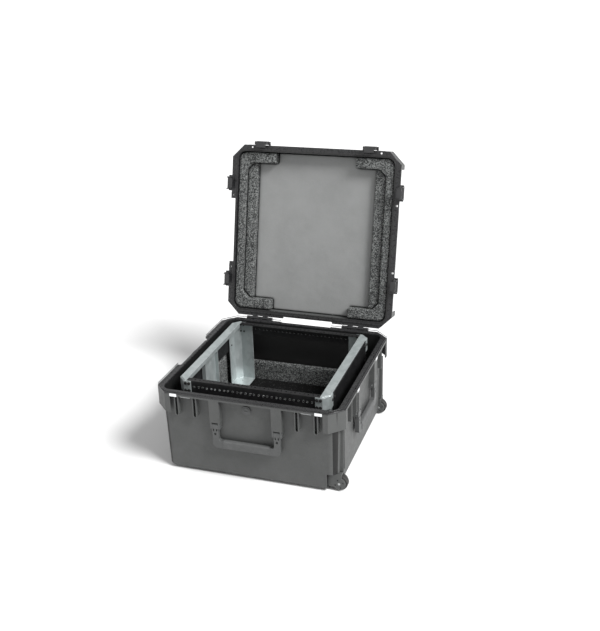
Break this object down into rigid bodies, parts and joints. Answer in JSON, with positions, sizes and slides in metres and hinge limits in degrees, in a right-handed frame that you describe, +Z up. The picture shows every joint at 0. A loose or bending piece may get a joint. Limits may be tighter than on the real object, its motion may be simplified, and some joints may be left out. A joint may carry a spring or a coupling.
{
  "type": "equipment rack case",
  "caption": "Wheeled moulded case with hinged lid, latches, pull handle, foam lining and a shock-mounted steel rack frame under the lid",
  "frame": {"origin": "middle of the middle foot pad's underside, on the floor under the centre of the base", "axes": "+X to the wheeled side, +Y to the hinges, +Z up; the lid stands open at rest"},
  "size_m": [0.663, 0.8538, 0.9336],
  "materials": {
    "case_plastic": "fine moulded grain, charcoal black",
    "trim_plastic": "smooth satin black",
    "grip_rubber": "soft overmould",
    "rubber": "matt black",
    "tyre": "solid rubber",
    "stainless": "polished stainless",
    "zinc_steel": "zinc plated sheet with faint spangle",
    "black_steel": "black powder coat",
    "bolt_steel": "zinc plated",
    "aluminium_tube": "satin anodised",
    "foam_charcoal": "rough speckled charcoal foam",
    "foam_grey": "smooth light grey foam"
  },
  "bodies": {
    "base": {"base_foam_floor": "foam_charcoal", "base_foam_front": "foam_charcoal", "base_foam_rear": "foam_charcoal", "base_foam_sides": "foam_charcoal", "base_padlock_plates": "stainless", "base_shell": "case_plastic", "foot_pads": "rubber", "handle_bracket_screws": "bolt_steel", "handle_brackets": "trim_plastic", "handle_pins": "bolt_steel", "hinge_pins": "bolt_steel", "latch_strikes": "bolt_steel", "pressure_valve_body": "trim_plastic", "pressure_valve_cap": "trim_plastic", "pull_handle_sleeves": "aluminium_tube", "rack_bolts": "bolt_steel", "rack_corner_plates": "zinc_steel", "rack_posts": "zinc_steel", "rack_rail_front": "black_steel", "rack_rail_rear": "black_steel", "rack_side_plates": "black_steel", "rack_side_rails": "zinc_steel", "rack_side_stays": "zinc_steel", "shock_mount_plates": "zinc_steel", "shock_mounts": "rubber", "wheel_axles": "bolt_steel", "wheel_housings": "case_plastic"},
    "lid": {"latch_pins": "bolt_steel", "lid_foam_corners": "foam_charcoal", "lid_foam_left": "foam_charcoal", "lid_foam_panel": "foam_grey", "lid_foam_right": "foam_charcoal", "lid_foam_steps": "foam_charcoal", "lid_padlock_plates": "stainless", "lid_seal": "rubber", "lid_shell": "case_plastic"},
    "front_handle": {"front_handle": "trim_plastic", "front_handle_grip": "grip_rubber"},
    "latch_front_left": {"latch_front_left": "trim_plastic"},
    "latch_front_right": {"latch_front_right": "trim_plastic"},
    "latch_left_front": {"latch_left_front": "trim_plastic"},
    "latch_left_rear": {"latch_left_rear": "trim_plastic"},
    "latch_right_front": {"latch_right_front": "trim_plastic"},
    "latch_right_rear": {"latch_right_rear": "trim_plastic"},
    "pull_button": {"pull_handle_button": "trim_plastic"},
    "pull_handle": {"pull_handle_grip": "trim_plastic", "pull_handle_inner_tubes": "aluminium_tube"},
    "pull_middle": {"pull_handle_middle_tubes": "aluminium_tube"},
    "side_handle": {"side_handle": "trim_plastic", "side_handle_grip": "grip_rubber"},
    "trigger_front_left": {"trigger_front_left": "trim_plastic"},
    "trigger_front_right": {"trigger_front_right": "trim_plastic"},
    "trigger_left_front": {"trigger_left_front": "trim_plastic"},
    "trigger_left_rear": {"trigger_left_rear": "trim_plastic"},
    "trigger_right_front": {"trigger_right_front": "trim_plastic"},
    "trigger_right_rear": {"trigger_right_rear": "trim_plastic"},
    "wheel_front": {"wheel_hub_front": "trim_plastic", "wheel_tyre_front": "tyre"},
    "wheel_rear": {"wheel_hub_rear": "trim_plastic", "wheel_tyre_rear": "tyre"}
  },
  "joints": [
    {"name": "lid_hinge", "type": "hinge", "parent": "base", "child": "lid", "pos_m": [0, 0.324, 0.294], "axis": [1, 0, 0], "range_deg": [0, 103.4]},
    {"name": "latch_front_left_swing", "type": "hinge", "parent": "lid", "child": "latch_front_left", "pos_m": [-0.202, 0.48098, 0.92274], "axis": [1, 0, 0], "range_deg": [-90, 0]},
    {"name": "trigger_front_left_press", "type": "hinge", "parent": "latch_front_left", "child": "trigger_front_left", "pos_m": [-0.202, 0.47223, 0.92482], "axis": [1, 0, 0], "range_deg": [0, 8], "stiffness_Nm_per_rad": 0.05},
    {"name": "latch_front_right_swing", "type": "hinge", "parent": "lid", "child": "latch_front_right", "pos_m": [0.202, 0.48098, 0.92274], "axis": [1, 0, 0], "range_deg": [-90, 0]},
    {"name": "trigger_front_right_press", "type": "hinge", "parent": "latch_front_right", "child": "trigger_front_right", "pos_m": [0.202, 0.47223, 0.92482], "axis": [1, 0, 0], "range_deg": [0, 8], "stiffness_Nm_per_rad": 0.05},
    {"name": "latch_right_front_swing", "type": "hinge", "parent": "lid", "child": "latch_right_front", "pos_m": [0.325, 0.44599, 0.77585], "axis": [0, -0.2317, -0.9728], "range_deg": [-90, 0]},
    {"name": "trigger_right_front_press", "type": "hinge", "parent": "latch_right_front", "child": "trigger_right_front", "pos_m": [0.325, 0.43723, 0.77793], "axis": [0, -0.2317, -0.9728], "range_deg": [0, 8], "stiffness_Nm_per_rad": 0.05},
    {"name": "latch_right_rear_swing", "type": "hinge", "parent": "lid", "child": "latch_right_rear", "pos_m": [0.325, 0.36974, 0.4558], "axis": [0, -0.2317, -0.9728], "range_deg": [-90, 0]},
    {"name": "trigger_right_rear_press", "type": "hinge", "parent": "latch_right_rear", "child": "trigger_right_rear", "pos_m": [0.325, 0.36099, 0.45789], "axis": [0, -0.2317, -0.9728], "range_deg": [0, 8], "stiffness_Nm_per_rad": 0.05},
    {"name": "latch_left_front_swing", "type": "hinge", "parent": "lid", "child": "latch_left_front", "pos_m": [-0.325, 0.44622, 0.77682], "axis": [0, 0.2317, 0.9728], "range_deg": [-90, 0]},
    {"name": "trigger_left_front_press", "type": "hinge", "parent": "latch_left_front", "child": "trigger_left_front", "pos_m": [-0.325, 0.43746, 0.77891], "axis": [0, 0.2317, 0.9728], "range_deg": [0, 8], "stiffness_Nm_per_rad": 0.05},
    {"name": "latch_left_rear_swing", "type": "hinge", "parent": "lid", "child": "latch_left_rear", "pos_m": [-0.325, 0.36325, 0.42857], "axis": [0, 0.2317, 0.9728], "range_deg": [-90, 0]},
    {"name": "trigger_left_rear_press", "type": "hinge", "parent": "latch_left_rear", "child": "trigger_left_rear", "pos_m": [-0.325, 0.3545, 0.43065], "axis": [0, 0.2317, 0.9728], "range_deg": [0, 8], "stiffness_Nm_per_rad": 0.05},
    {"name": "front_handle_lift", "type": "hinge", "parent": "base", "child": "front_handle", "pos_m": [0, -0.308, 0.196], "axis": [-1, 0, 0], "range_deg": [0, 95]},
    {"name": "side_handle_lift", "type": "hinge", "parent": "base", "child": "side_handle", "pos_m": [0.309, 0, 0.196], "axis": [0, -1, 0], "range_deg": [0, 95]},
    {"name": "pull_handle_extend", "type": "slide", "parent": "pull_middle", "child": "pull_handle", "axis": [0, 0, 1], "range_m": [0, 0.19]},
    {"name": "pull_middle_extend", "type": "slide", "parent": "base", "child": "pull_middle", "axis": [0, 0, 1], "range_m": [0, 0.19]},
    {"name": "pull_button_press", "type": "slide", "parent": "pull_handle", "child": "pull_button", "axis": [0, 0, -1], "range_m": [0, 0.003], "stiffness_N_per_m": 400},
    {"name": "wheel_front_spin", "type": "hinge", "parent": "base", "child": "wheel_front", "pos_m": [0.294, -0.261, 0.0264], "axis": [0, 1, 0], "continuous": true},
    {"name": "wheel_rear_spin", "type": "hinge", "parent": "base", "child": "wheel_rear", "pos_m": [0.294, 0.261, 0.0264], "axis": [0, 1, 0], "continuous": true}
  ],
  "couplings": [
    {"joint": "pull_middle_extend", "follows": "pull_handle_extend", "ratio": 1}
  ]
}
